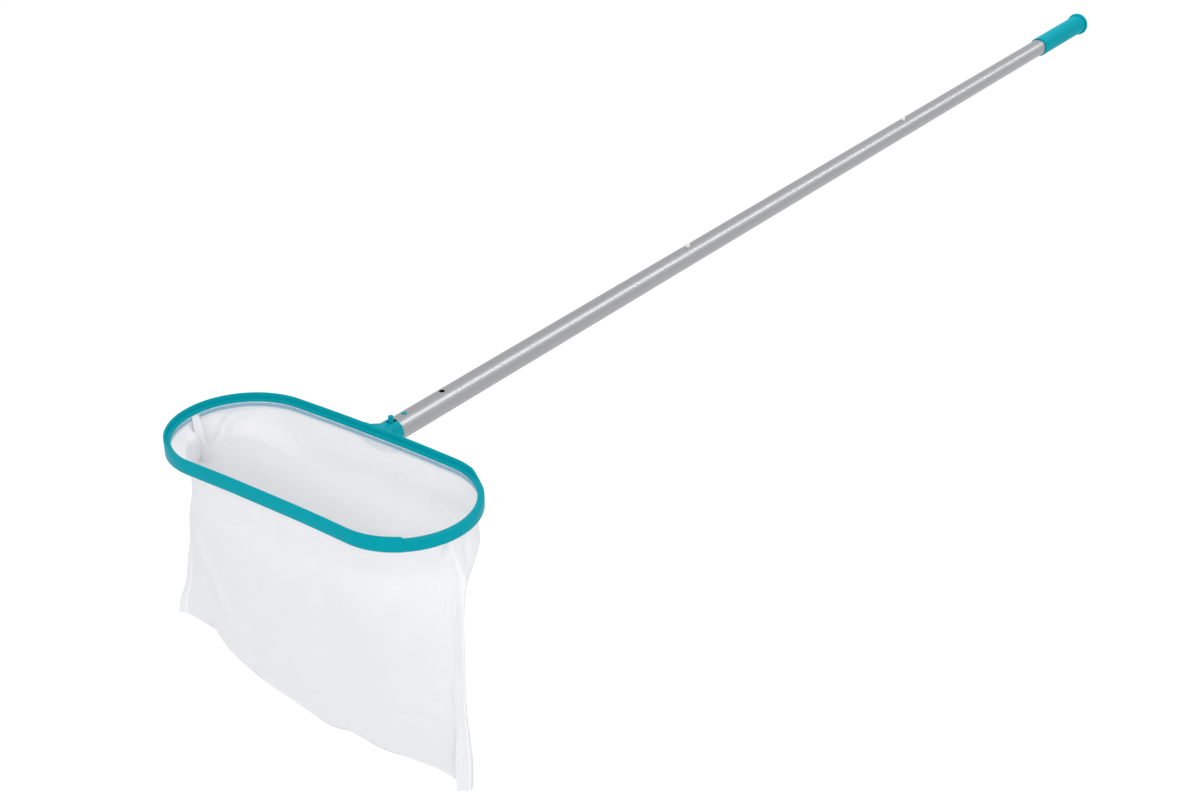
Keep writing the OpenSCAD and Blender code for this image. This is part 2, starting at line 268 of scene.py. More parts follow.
def makeMouldedGroup():
    # colour drift, faint flow marks and fine grain of a moulded plastic
    group, start, end = makeGroup("mouldedSkin", {
        "Colour": (0.5, 0.5, 0.5, 1), "Drift": 0.08, "Roughness": 0.35, "Grain": 0.1,
    }, surfaceOut)
    place = group.nodes.new("ShaderNodeTexCoord").outputs["Object"]
    drift = addNoise(group, place, Scale=9.0, Detail=2.0)
    grain = addNoise(group, place, Scale=1400.0, Detail=2.0)
    scuff = addNoise(group, place, Scale=60.0, Detail=6.0, Roughness=0.7)
    tint(group, start.outputs["Colour"], swing(group, drift, start.outputs["Drift"]), end)
    rough = mathNode(group, "ADD", swing(group, scuff, finishes["scuff"]), start.outputs["Roughness"])
    group.links.new(rough, end.inputs["Roughness"])
    bump = addBump(group, grain, end, Distance=0.00006)
    group.links.new(start.outputs["Grain"], bump.inputs["Strength"])
    return group


def makeDrawnGroup():
    # lines left along a drawn and anodised tube, with a faint cloudiness
    group, start, end = makeGroup("drawnMetal", {
        "Colour": (0.5, 0.5, 0.5, 1), "Lines": 0.1, "Roughness": 0.3,
    }, surfaceOut)
    place = group.nodes.new("ShaderNodeTexCoord").outputs["Object"]
    along = addNode(group, "ShaderNodeMapping")
    along.inputs["Scale"].default_value = (1.0, finishes["lineStretch"], 1.0)
    group.links.new(place, along.inputs["Vector"])
    lines = addNoise(group, along.outputs["Vector"], Scale=700.0, Detail=3.0)
    cloud = addNoise(group, place, Scale=14.0, Detail=4.0)
    lineShare = swing(group, lines, start.outputs["Lines"])
    change = mathNode(group, "ADD", lineShare, swing(group, cloud, finishes["cloud"]))
    tint(group, start.outputs["Colour"], change, end)
    rough = mathNode(group, "ADD", mathNode(group, "MULTIPLY", lineShare, finishes["lineRoughness"]),
                     start.outputs["Roughness"])
    group.links.new(rough, end.inputs["Roughness"])
    addBump(group, lines, end, Distance=0.00002, Strength=0.1)
    return group


def makeWeaveGroup():
    # fine square mesh on the cloth's own flat measure
    group, start, end = makeGroup("fineMesh", {
        "Colour": (0.8, 0.8, 0.8, 1), "Pitch": 0.0011, "Cover": 0.8,
        "Doubled": -9.0,  # the cloth is double up to this measure
    }, clothOut)
    measure, split = flatMeasure(group)
    turns = mathNode(group, "DIVIDE", 2 * math.pi, start.outputs["Pitch"])
    waves = []
    for axis in ("X", "Y"):
        wave = mathNode(group, "COSINE", mathNode(group, "MULTIPLY", split[axis], turns))
        waves.append(mathNode(group, "ADD", mathNode(group, "MULTIPLY", wave, 0.5), 0.5))
    thread = mathNode(group, "MAXIMUM", waves[0], waves[1])  # 1 on a thread, 0 in the middle of a hole
    soft = addNode(group, "ShaderNodeMapRange", interpolation_type="SMOOTHSTEP",
                   From_Min=finishes["thread"][0], From_Max=finishes["thread"][1], To_Max=1.0)
    group.links.new(start.outputs["Cover"], soft.inputs["To Min"])
    group.links.new(thread, soft.inputs["Value"])
    folded = mathNode(group, "LESS_THAN", split["X"], start.outputs["Doubled"])
    cover = mathNode(group, "MAXIMUM", soft.outputs["Result"],
                     mathNode(group, "MULTIPLY", folded, finishes["doubled"]))
    group.links.new(cover, end.inputs["Alpha"])
    slub = addNoise(group, measure, Scale=26.0, Detail=5.0, Roughness=0.6)
    tint(group, start.outputs["Colour"], swing(group, slub, finishes["slub"]), end)
    addBump(group, thread, end, Distance=0.0002, Strength=0.35)
    return group


def mixColours(tree, share, first, second):
    mix = addNode(tree, "ShaderNodeMix", data_type="RGBA")
    for value, socket in ((share, "Factor"), (first, "A"), (second, "B")):
        tree.links.new(value, mix.inputs[socket])
    return mix.outputs["Result"]


def makeHemGroup():
    # the hem's upper strip is grey-blue with a pale edge, and plain mesh below a serrated line
    group, start, end = makeGroup("hemColours", {
        "Strip": (0.3, 0.42, 0.5, 1), "Mesh": (0.85, 0.87, 0.9, 1), "Line": (0.2, 0.25, 0.28, 1),
        "Level": 0.003,
    }, {"Colour": "Color"})
    measure, split = flatMeasure(group)
    teeth = addNoise(group, measure, Scale=420.0, Detail=2.0)
    height = mathNode(group, "ADD", split["Y"], swing(group, teeth, finishes["teeth"]))
    below = mathNode(group, "GREATER_THAN", height, start.outputs["Level"])
    edgeHeight, edgeShare = finishes["edge"]
    topEdge = mathNode(group, "MULTIPLY", mathNode(group, "LESS_THAN", height, edgeHeight), edgeShare)
    plain = mixColours(group, mathNode(group, "MAXIMUM", below, topEdge),
                       start.outputs["Strip"], start.outputs["Mesh"])
    stitchHeight, stitchShare = finishes["stitch"]
    stitched = mathNode(group, "COMPARE", height, start.outputs["Level"])
    stitched.node.inputs[2].default_value = stitchHeight
    sewn = mixColours(group, mathNode(group, "MULTIPLY", stitched, stitchShare),
                      plain, start.outputs["Line"])
    group.links.new(sewn, end.inputs["Colour"])
    return group


def finishWith(name, group, settings, **surface):
    # one Principled shader that takes colours and values from a finish group
    material = bpy.data.materials.new(name)
    material.use_nodes = True
    tree = material.node_tree
    shader = tree.nodes["Principled BSDF"]
    finish = tree.nodes.new("ShaderNodeGroup")
    finish.node_tree = group
    setInputs(finish, settings)
    for output in finish.outputs:
        socket = "Base Color" if output.name == "Colour" else output.name
        tree.links.new(output, shader.inputs[socket])
    setInputs(shader, {key.replace("_", " "): value for key, value in surface.items()})
    return material


mouldedSkin = makeMouldedGroup()
drawnMetal = makeDrawnGroup()
fineMesh = makeWeaveGroup()
hemColours = makeHemGroup()

tealPlastic = finishWith("tealPlastic", mouldedSkin, {
    "Colour": (0.001, 0.345, 0.415, 1), "Drift": 0.1, "Roughness": 0.38, "Grain": 0.25,
}, IOR=1.5, Specular_IOR_Level=0.03)
tealJoint = finishWith("tealJoint", mouldedSkin, {
    "Colour": (0.001, 0.332, 0.405, 1), "Drift": 0.1, "Roughness": 0.36, "Grain": 0.25,
}, IOR=1.5, Specular_IOR_Level=0.03)
hemPlastic = finishWith("hemPlastic", mouldedSkin, {
    "Colour": (0.02, 0.3, 0.36, 1), "Drift": 0.06, "Roughness": 0.5, "Grain": 0.2,
})
gripVinyl = finishWith("gripVinyl", mouldedSkin, {
    "Colour": (0.001, 0.35, 0.43, 1), "Drift": 0.12, "Roughness": 0.4, "Grain": 0.3,
}, IOR=1.5, Specular_IOR_Level=0.012)
whiteNylon = finishWith("whiteNylon", mouldedSkin, {
    "Colour": (0.82, 0.82, 0.8, 1), "Drift": 0.04, "Roughness": 0.38, "Grain": 0.15,
})
poleMetal = finishWith("poleMetal", drawnMetal, {
    "Colour": (0.353, 0.355, 0.366, 1), "Lines": 0.14, "Roughness": 0.4,
}, Metallic=1.0)
plainSteel = finishWith("plainSteel", drawnMetal, {
    "Colour": (0.55, 0.56, 0.58, 1), "Lines": 0.08, "Roughness": 0.25,
}, Metallic=1.0)
bagMesh = finishWith("bagMesh", fineMesh, {
    "Colour": (0.9, 0.905, 0.925, 1), "Pitch": 0.0011, "Cover": 0.4,
}, Roughness=0.75)
seamMesh = finishWith("seamMesh", fineMesh, {
    "Colour": (0.9, 0.91, 0.93, 1), "Pitch": 0.0011, "Cover": 0.5, "Doubled": 0.0048,
}, Roughness=0.75)
hemMesh = finishWith("hemMesh", fineMesh, {"Pitch": 0.0011, "Cover": 0.9}, Roughness=0.7)
hemPaint = hemMesh.node_tree.nodes.new("ShaderNodeGroup")
hemPaint.node_tree = hemColours
setInputs(hemPaint, {"Strip": (0.32, 0.5, 0.62, 1), "Mesh": (0.85, 0.93, 0.97, 1), "Level": 0.0044})
hemMesh.node_tree.links.new(hemPaint.outputs["Colour"], hemMesh.node_tree.nodes["Group"].inputs["Colour"])
print("materials made")


# ---- hoop: one long lipped moulding and a plain end piece

hoop = {
    "centreY": -2.0505,
    "top": 0.0175,       # top of the lip
    "sideHalf": 0.125,
    "endRadius": 0.093,
    "height": 0.019,
    "wall": 0.0022,
    "ledgeWidth": 0.0081,
    "skirt": 0.0016,
    "lip": 0.0058,
    "skirtDrop": 0.0088,
    "nearEnd": 47,       # where the lipped moulding stops on the right end, in degrees
    "farEnd": 59,
    "lipEase": 0.0045,   # length over which the lip comes up at its near end
    "farEase": 0.022,
    "lipStart": 0.0003,  # height that it starts with
    "lipFoot": 0.0005,   # up to this height over the flat top nothing rises
    "gap": 0.0001,
    "stripEdge": 0.0004,
    "endEdge": 0.0005,
    "bend": (0.035, 0.165),       # where the soft hoop starts to give, and over what length
    "bendX": (-0.0045, -0.006),   # how far it gives at its left and right ends
    "bendZ": (-0.003, -0.0035),
}
hemStrip = {
    "inwards": (0.0036, 0.0052),  # its faces, from the hoop's outside
    "below": (0.0097, 0.0177),    # its edges, from the lip's top
    "edge": 0.0002,
}


def flexHoop(place, share=1):
    # the hoop is held in its middle and gives a little towards its ends
    side = 0 if place.x < 0 else 1
    start, length = hoop["bend"]
    far = ease((abs(place.x) - start) / length) * share
    place.x += hoop["bendX"][side] * far
    place.z += hoop["bendZ"][side] * far


def bevelSweep(piece, width, sharp=0.6):
    # rounds the long edges, and leaves the joint faces with their many corners as they are
    mesh = bmesh.new()
    mesh.from_mesh(piece.data)
    weight = mesh.edges.layers.float.new("bevel_weight_edge")
    for edge in mesh.edges:
        capped = any(len(face.verts) > 4 for face in edge.link_faces)
        if edge.is_manifold and not capped and edge.calc_face_angle(0) > sharp:
            edge[weight] = 1
    mesh.to_mesh(piece.data)
    mesh.free()
    applyModifier(piece, "BEVEL", width=width, segments=2, limit_method="WEIGHT",
                  use_clamp_overlap=True, miter_outer="MITER_ARC")
    for vertex in piece.data.vertices:
        flexHoop(vertex.co)
    smoothPiece(piece)


def hoopSection(lipped):
    h = hoop
    under = -h["lip"] - h["skirt"]
    inner = h["ledgeWidth"] - h["skirt"]
    rest = [(h["ledgeWidth"], -h["lip"]), (h["ledgeWidth"], -h["skirtDrop"]), (inner, -h["skirtDrop"]),
            (inner, under), (h["wall"], under), (h["wall"], -h["height"]), (0, -h["height"])]
    if lipped:
        return [(0, 0), (h["wall"], 0), (h["wall"], -h["lip"])] + rest
    return [(0, -h["lip"])] + rest


def startSweep(name, section, angle):
    # the section as one face, standing on the right end at an angle
    deselectAll()
    bpy.ops.mesh.primitive_circle_add(vertices=len(section), radius=0.01, fill_type="NGON")
    piece = nameNew(name)
    turn = math.radians(angle)
    for vertex, (inwards, up) in zip(piece.data.vertices, section):
        reach = hoop["endRadius"] - inwards
        vertex.co = (hoop["sideHalf"] + reach * math.cos(turn),
                     hoop["centreY"] + reach * math.sin(turn), hoop["top"] + up)
    editAll(piece)
    return piece


def sweepArc(degrees, steps, side=1):
    # side 1 is the hoop's right end; spin turns clockwise for a positive angle
    bpy.ops.mesh.spin(steps=steps, angle=-math.radians(degrees), axis=(0, 0, 1),
                      center=(side * hoop["sideHalf"], hoop["centreY"], 0))


def sweepStraight(distance, steps=12):
    for step in range(steps):
        bpy.ops.mesh.extrude_region_move(TRANSFORM_OT_translate={"value": (distance / steps, 0, 0)})


def sweepRound(first, last, steps):
    # from the right end along the front, round the left end and back along the pole's side
    sweepArc(-first, steps[0])
    sweepStraight(-2 * hoop["sideHalf"])
    sweepArc(-180, steps[1], side=-1)
    sweepStraight(2 * hoop["sideHalf"])
    sweepArc(-last, steps[2])


def endSweep(piece):
    bpy.ops.mesh.select_all(action="SELECT")
    bpy.ops.mesh.remove_doubles(threshold=copies["sweepWeld"])
    bpy.ops.mesh.normals_make_consistent(inside=False)
    endEdit()


def arcDegrees(length):
    return math.degrees(length / hoop["endRadius"])


def raiseLip(piece, nearEase, farEase):
    # the lip rises from the flat top, in a quarter round at its near end and gently at its far one
    centre = Vector((hoop["sideHalf"], hoop["centreY"], 0))
    foot, start = hoop["top"] - hoop["lip"], hoop["lipStart"]
    for vertex in piece.data.vertices:
        above = vertex.co.z - foot
        if above < hoop["lipFoot"] or vertex.co.x <= hoop["sideHalf"]:
            continue
        away = vertex.co - centre
        angle = math.degrees(math.atan2(away.y, away.x))
        if angle < 0:
            share = min(1, max(0, (-hoop["nearEnd"] - angle) / nearEase))
            rise = math.sqrt(1 - (1 - share) ** 2)
        else:
            rise = ease((angle - hoop["farEnd"]) / farEase)
        vertex.co.z = foot + start + (above - start) * rise


def buildHoopStrip():
    nearEase, farEase = arcDegrees(hoop["lipEase"]), arcDegrees(hoop["farEase"])
    piece = startSweep("hoopStripBody", hoopSection(True), -hoop["nearEnd"])
    sweepArc(-nearEase, 8)
    sweepRound(90 - hoop["nearEnd"] - nearEase, 90 - hoop["farEnd"] - farEase, (20, 96, 10))
    sweepArc(-farEase, 14)
    endSweep(piece)
    raiseLip(piece, nearEase, farEase)
    bevelSweep(piece, hoop["stripEdge"])
    return piece


def buildHoopEnd():
    gap = arcDegrees(hoop["gap"])
    piece = startSweep("hoopEndBody", hoopSection(False), -hoop["nearEnd"] + gap)
    sweepArc(hoop["nearEnd"] + hoop["farEnd"] - 2 * gap, 56)
    endSweep(piece)
    bevelSweep(piece, hoop["endEdge"])
    return piece


def buildHemStrip():
    # the flat strip inside the hem goes all round, its ends meeting at the right end
    gap = arcDegrees(hoop["gap"])
    (outer, inner), (top, bottom) = hemStrip["inwards"], hemStrip["below"]
    section = [(outer, -top), (inner, -top), (inner, -bottom), (outer, -bottom)]
    piece = startSweep("hemStripBody", section, -gap)
    sweepRound(90 - gap, 90 - gap, (24, 48, 24))
    endSweep(piece)
    bevelSweep(piece, hemStrip["edge"])
    return piece


for node, build, material, slot in (
        ("hoop_strip", buildHoopStrip, tealPlastic, "hoop"),
        ("hoop_end", buildHoopEnd, tealJoint, "hoop_joint"),
        ("hem_strip", buildHemStrip, hemPlastic, "hem_strip")):
    piece = build()
    dress(piece, material, slot)
    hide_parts(node)
    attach(piece, "skimmer")
print("hoop made")


# ---- net: hem, bag and side seams

net = {
    "mouthInset": 0.0044,
    "mouthZ": -0.0013,
    "panel": 0.53,        # cut width of a panel along the mouth
    "columns": 120,       # of each panel
    "rows": 84,
    "crowd": 0.72,        # how much closer the columns stand at the seams
    "depth": 0.379,       # of the bag, by which folds and the flat measure are counted
    "fullness": 4.2,      # of the section below the mouth
    # how the section turns, in depth shares: start to the right, length, and more of it to the right
    "backTurn": (0.12, 0.1, 0.04),
    # length, more of it to the right, and the share along where that starts
    "frontTurn": (0.055, 0.115, 0.15),
    "bottomHalf": 0.002,  # half the bag's thickness at the bottom fold
    "seamReach": 0.03,    # how far a seam's heights act along the cloth
    "flexDepth": 0.2,     # depth share down to which the bag follows the hoop's bend
    "foldStart": 0.08,    # share of its height that a fold starts with
    "foldRound": 0.8,
    "waves": (5.5, 7, 0.004, 0.15),     # along, down, height, and depth where they are full
    "foldMeasure": 0.004,
    # side seams and bottom fold, from the hoop's middle and the lip's top
    "leftSeam": [(-0.2145, 0.0035, -0.0188), (-0.2225, 0.0025, -0.06), (-0.231, 0.0015, -0.104),
                 (-0.2355, 0.001, -0.142), (-0.2415, 0.0005, -0.18), (-0.249, 0, -0.23),
                 (-0.2575, 0, -0.267), (-0.27, 0, -0.302), (-0.275, 0, -0.325)],
    "rightSeam": [(0.2127, -0.0135, -0.0188), (0.2095, -0.009, -0.044), (0.211, -0.004, -0.062),
                  (0.2155, -0.005, -0.078), (0.2195, -0.0125, -0.092), (0.222, -0.018, -0.115),
                  (0.222, -0.02, -0.175), (0.2196, -0.02, -0.25), (0.2215, -0.02, -0.284),
                  (0.2235, -0.02, -0.318), (0.2215, -0.02, -0.362)],
    "fold": [(-0.275, -0.325), (-0.245, -0.325), (-0.216, -0.328), (-0.195, -0.347), (-0.131, -0.3675),
             (-0.075, -0.3745), (-0.034, -0.379), (-0.012, -0.3815), (0.022, -0.375), (0.081, -0.3725),
             (0.132, -0.3635), (0.182, -0.357), (0.216, -0.361)],
    # folds near a seam: (distance from it, depth), front panel positive, then height outwards and width
    "leftFolds": [
        ([(0, 0.004), (0, 0.03), (-0.002, 0.052), (-0.001, 0.085)], -0.008, 0.0046),
        ([(0.014, 0.006), (0.013, 0.026), (0.01, 0.048), (0.006, 0.08)], -0.013, 0.004),
        ([(-0.072, 0.006), (-0.047, 0.012), (-0.035, 0.02), (-0.024, 0.036), (-0.012, 0.07)],
         0.012, 0.0052),
        ([(0.02, 0.12), (0.034, 0.165), (0.06, 0.215), (0.095, 0.275), (0.125, 0.32)], 0.0045, 0.016),
        ([(0.012, 0.13), (0.01, 0.2), (0.012, 0.27)], -0.0025, 0.007)],
    "rightFolds": [
        ([(0.008, 0.004), (0.009, 0.016), (0.012, 0.034)], -0.009, 0.0045),
        ([(-0.026, 0.006), (-0.02, 0.03), (-0.008, 0.06)], -0.005, 0.0055),
        ([(0.03, 0.016), (0.05, 0.07), (0.075, 0.15)], 0.0025, 0.014),
        ([(0.02, 0.3), (0.07, 0.285), (0.14, 0.3)], -0.0025, 0.013)],
}


def outlineLength(inset):
    return 4 * hoop["sideHalf"] + 2 * math.pi * (hoop["endRadius"] - inset)


def outlinePoint(distance, inset):
    # a point on the hoop's outline, by distance from its right end towards the pole's side
    radius = hoop["endRadius"] - inset
    quarter = math.pi * radius / 2
    side = 2 * hoop["sideHalf"]
    d = distance % outlineLength(inset)
    if d < quarter or d > 3 * quarter + 2 * side:
        a = d / radius if d < quarter else (d - outlineLength(inset)) / radius
        return Vector((hoop["sideHalf"] + radius * math.cos(a), radius * math.sin(a)))
    if d < quarter + side:
        return Vector((hoop["sideHalf"] - (d - quarter), radius))
    if d < 3 * quarter + side:
        a = math.pi / 2 + (d - quarter - side) / radius
        return Vector((-hoop["sideHalf"] + radius * math.cos(a), radius * math.sin(a)))
    return Vector((-hoop["sideHalf"] + (d - 3 * quarter - side), -radius))


def smoothValue(table, x):
    # a smooth curve through the pairs of a table
    k = 1
    while k < len(table) - 1 and x > table[k][0]:
        k += 1
    (x0, y0), (x1, y1) = table[k - 1], table[k]
    before, after = table[max(0, k - 2)], table[min(len(table) - 1, k + 1)]
    slope0 = (y1 - before[1]) / (x1 - before[0])
    slope1 = (after[1] - y0) / (after[0] - x0)
    width = x1 - x0
    s = min(1, max(0, (x - x0) / width))
    return ((1 + 2 * s) * (1 - s) ** 2 * y0 + s * (1 - s) ** 2 * width * slope0
            + s * s * (3 - 2 * s) * y1 + s * s * (s - 1) * width * slope1)


def seamPoint(seam, t):
    top, end = seam[0][2], seam[-1][2]
    z = top + (end - top) * t
    return Vector((smoothValue([(-p[2], p[0]) for p in seam], -z),
                   smoothValue([(-p[2], p[1]) for p in seam], -z), z))


def turnShare(panel, a, t):
    # how far the section has turned from the hoop's outline to the bag's pointed one
    if panel == 0:
        start, length, more = net["backTurn"]
        late = ease(a * 2)
        return ease((t - start * late) / (length + more * late))
    length, more, start = net["frontTurn"]
    return ease(t / (length + more * ease((a - start) * 2)))


def bagPoint(panel, a, t):
    # panel 0 is the back and 1 the front; a runs from the left seam to the right one, t downwards
    leftTop, rightTop = net["leftSeam"][0], net["rightSeam"][0]
    whole = outlineLength(net["mouthInset"])
    radius = hoop["endRadius"] - net["mouthInset"]
    right = math.asin(rightTop[1] / radius) * radius
    left = whole / 2 - leftTop[1]
    distance = left + (right - left) * a if panel == 0 else left + (right + whole - left) * a
    mouth = outlinePoint(distance, net["mouthInset"])
    mouthZ = net["mouthZ"] - hoop["top"]
    leftEnd, rightEnd = seamPoint(net["leftSeam"], t), seamPoint(net["rightSeam"], t)
    x0, x1 = net["leftSeam"][-1][0], net["rightSeam"][-1][0]
    foldZ = smoothValue(net["fold"], x0 + (x1 - x0) * a)
    # the section turns to a pointed one and closes towards the bottom
    side = 1 if panel == 0 else -1
    seamLine = leftEnd.lerp(rightEnd, a)
    full = side * radius * (1 - abs(2 * a - 1) ** net["fullness"])
    topLine = leftTop[1] + (rightTop[1] - leftTop[1]) * a
    chordX = leftTop[0] + (rightTop[0] - leftTop[0]) * a
    pointed = turnShare(panel, a, t)
    x = seamLine.x + (mouth.x - chordX) * (1 - t) * (1 - pointed)
    bulge = (mouth.y - topLine) * (1 - pointed) + full * pointed
    thick = side * net["bottomHalf"] * math.sqrt(max(0, 1 - (2 * a - 1) ** 2))
    y = seamLine.y + bulge * (1 - t) + thick * t
    z = mouthZ + (foldZ - mouthZ) * t
    # close to a seam the cloth keeps to the seam's own heights
    near = math.exp(-(min(a, 1 - a) * net["panel"] / net["seamReach"]) ** 2)
    seamZ = (leftEnd if a < 0.5 else rightEnd).z
    z += (seamZ - z) * near
    place = Vector((x, hoop["centreY"] + y, hoop["top"] + z))
    flexHoop(place, 1 - ease(t / net["flexDepth"]))
    return place


def foldShare(path, s, d):
    # how far a place is from a fold, and how strong the fold is there
    best, share = 1, 0
    total = len(path) - 1
    for k in range(total):
        (s0, d0), (s1, d1) = path[k], path[k + 1]
        length2 = (s1 - s0) ** 2 + (d1 - d0) ** 2
        f = min(1, max(0, ((s - s0) * (s1 - s0) + (d - d0) * (d1 - d0)) / length2))
        gap = math.hypot(s - s0 - (s1 - s0) * f, d - d0 - (d1 - d0) * f)
        if gap < best:
            best, share = gap, (k + f) / total
    start = net["foldStart"]
    return best, math.sin(math.pi * (start + (1 - start) * share)) ** net["foldRound"]


def bagFolds(a, d):
    # height of all folds at a place: a is signed, positive on the front panel
    height = 0
    width = net["panel"]
    for folds, s in ((net["leftFolds"], a * width),
                     (net["rightFolds"], math.copysign((1 - abs(a)) * width, a))):
        for path, fold, reach in folds:
            gap, share = foldShare(path, s, d)
            if gap < 3 * reach:
                height += fold * share * math.exp(-(gap / reach) ** 2)
    # loose waves of a light cloth
    along, down, high, depth = net["waves"]
    return height + noise.noise(Vector((a * along, d * down, 2))) * high * ease(d / depth)


def stepsAlong(count, crowd):
    # places from 0 to 1, closer together at both ends
    whole = 2 * math.pi
    return [i / count - crowd * math.sin(whole * i / count) / whole for i in range(count + 1)]


def rowShare(row):
    # depth share of a row, closer together at the top
    down = row / net["rows"]
    return 0.5 * row / net["rows"] + 0.5 * down ** 2


def clothPiece(name, places, faces, corners, measure):
    # a cloth mesh whose UV map is the flat measure of each corner, in metres
    data = bpy.data.meshes.new(name)
    data.from_pydata(places, [], faces)
    flat = data.uv_layers.new(name="flat")
    for face, steps in zip(data.polygons, corners):
        for loop, (i, j) in zip(face.loop_indices, steps):
            flat.data[loop].uv = measure(i, j)
    return addObject(name, data)


def thicken(piece, thick, angle):
    applyModifier(piece, "SOLIDIFY", thickness=thick, offset=0)
    smoothPiece(piece, angle)


def gridFaces(rows, across):
    # the faces of a strip of cloth, and the steps at their corners
    faces, corners = [], []
    for j in rows:
        for k in range(across):
            a = j * (across + 1) + k
            faces.append((a, a + 1, a + across + 2, a + across + 1))
            corners.append(((k, j), (k + 1, j), (k + 1, j + 1), (k, j + 1)))
    return faces, corners


def bagPlaces(signed, across, down):
    # both panels row by row, with the folds standing out along the cloth's own normal
    rows, around = net["rows"], 2 * net["columns"]
    grid = []
    for t in down:
        back = [bagPoint(0, a, t) for a in reversed(across[1:])]
        front = [bagPoint(1, a, t) for a in across[:-1]]
        grid.append(back + front)
    places = []
    for j in range(rows + 1):
        for i in range(around):
            sideways = grid[j][(i + 1) % around] - grid[j][i - 1]
            upwards = grid[max(0, j - 1)][i] - grid[min(rows, j + 1)][i]
            normal = sideways.cross(upwards).normalized()
            height = bagFolds(signed[i], down[j] * net["depth"]) if 0 < j < rows else 0
            places.append(grid[j][i] + normal * height)
    return places


def buildBag():
    columns, rows = net["columns"], net["rows"]
    around = 2 * columns
    across = stepsAlong(columns, net["crowd"])
    down = [rowShare(j) for j in range(rows + 1)]
    # places along the back panel are counted as negative ones
    signed = [-a for a in reversed(across[1:])] + across[:-1]
    faces, corners = [], []
    for j in range(rows):
        for i in range(around):
            k = (i + 1) % around
            faces.append((j * around + i, j * around + k, (j + 1) * around + k, (j + 1) * around + i))
            first, last = signed[i], signed[i + 1] if i + 1 < around else 1.0
            if i == columns - 1:
                last = 0.0
            corners.append(((first, down[j]), (last, down[j]), (last, down[j + 1]), (first, down[j + 1])))
    bottom = rows * around
    for i in range(columns):  # the bottom fold joins the two panels
        ends = [bottom + i, bottom + i + 1,
                bottom + (around - i - 1) % around, bottom + (around - i) % around]
        kept = [c for c in range(4) if ends[c] not in ends[:c]]
        if len(kept) > 2:
            faces.append(tuple(ends[c] for c in kept))
            corners.append(tuple((signed[min(i + (c in (1, 2)), around - 1)],
                                  1.0 + net["foldMeasure"] * (c > 1)) for c in kept))
    bag = clothPiece("bagCloth", bagPlaces(signed, across, down), faces, corners,
                     lambda u, v: (u * net["panel"], v * net["depth"]))
    faceOutwards(bag)
    return bag


hanging = {
    "frames": 22,
    "seamHold": 0.75,    # how firmly the seams keep their place
    "clothHold": 0.3,    # the same for the rest of the cloth
    "settings": {
        "quality": 8, "mass": 0.00002, "air_damping": 2.0, "shrink_min": -0.006,
        "tension_stiffness": 18, "compression_stiffness": 12, "shear_stiffness": 6,
        "bending_stiffness": 0.4, "tension_damping": 8, "compression_damping": 8,
        "shear_damping": 8, "bending_damping": 0.6,
        "vertex_group_mass": "held", "pin_stiffness": 1.0,
    },
}


def hangBag(bag):
    # the cloth settles under its own weight, held along the hem
    columns, rows = net["columns"], net["rows"]
    around = 2 * columns
    seams = (columns - 1, around - 1)
    held = bag.vertex_groups.new(name="held")
    held.add(list(range(around)), 1.0, "REPLACE")
    for j in range(1, rows + 1):
        held.add([j * around + i for i in seams], hanging["seamHold"], "REPLACE")
        others = [j * around + i for i in range(around) if i not in seams]
        held.add(others, hanging["clothHold"], "REPLACE")
    pickOnly(bag)
    cloth = bag.modifiers.new("cloth", "CLOTH")
    for key, value in hanging["settings"].items():
        setattr(cloth.settings, key, value)
    cloth.collision_settings.use_collision = False
    cloth.collision_settings.use_self_collision = False
    cloth.point_cache.frame_start = 1
    cloth.point_cache.frame_end = hanging["frames"]
    for step in range(1, hanging["frames"] + 1):
        scene.frame_set(step)
    bpy.ops.object.modifier_apply(modifier="cloth")
    scene.frame_set(1)


bagCloth = buildBag()
hangBag(bagCloth)
smoothPiece(bagCloth, 80)
print("bag hung")


seamFlap = {
    "width": (0.013, 0.0165),   # of the left and the right one
    "thick": 0.0007,
    "across": 6,                # faces across it
    "turn": 2.5,                # it has its full lean at 1 / 2.5 of its width
    "ripple": (0.0012, 26, 1.7),  # height, how often down the seam, and its shift
    "rowLength": 0.0043,
    "gather": (0.25, 0.3, 0.1),   # of the right one: measure left at its top, its end and how soft it is
    # depth share down the seam, then the lean from the hoop's length towards the front, in degrees
    "leftLean": [(0, -60), (0.15, -50), (0.35, -25), (0.6, -15), (0.85, -5), (1, 30)],
    "rightLean": [(0, -150), (0.1, -152), (0.2, -156), (0.3, -160), (0.75, -160), (0.9, -152), (1, -146)],
    # depth share, then share of the width
    "leftWidth": [(0, 0.2), (0.1, 0.4), (0.3, 0.75), (0.5, 0.95), (0.8, 1), (1, 0.85)],
    "rightWidth": [(0, 0.42), (0.08, 0.5), (0.13, 0.75), (0.18, 0.85), (0.24, 0.8), (0.35, 1), (0.75, 1),
                   (0.9, 1.3), (1, 1.25)],
}


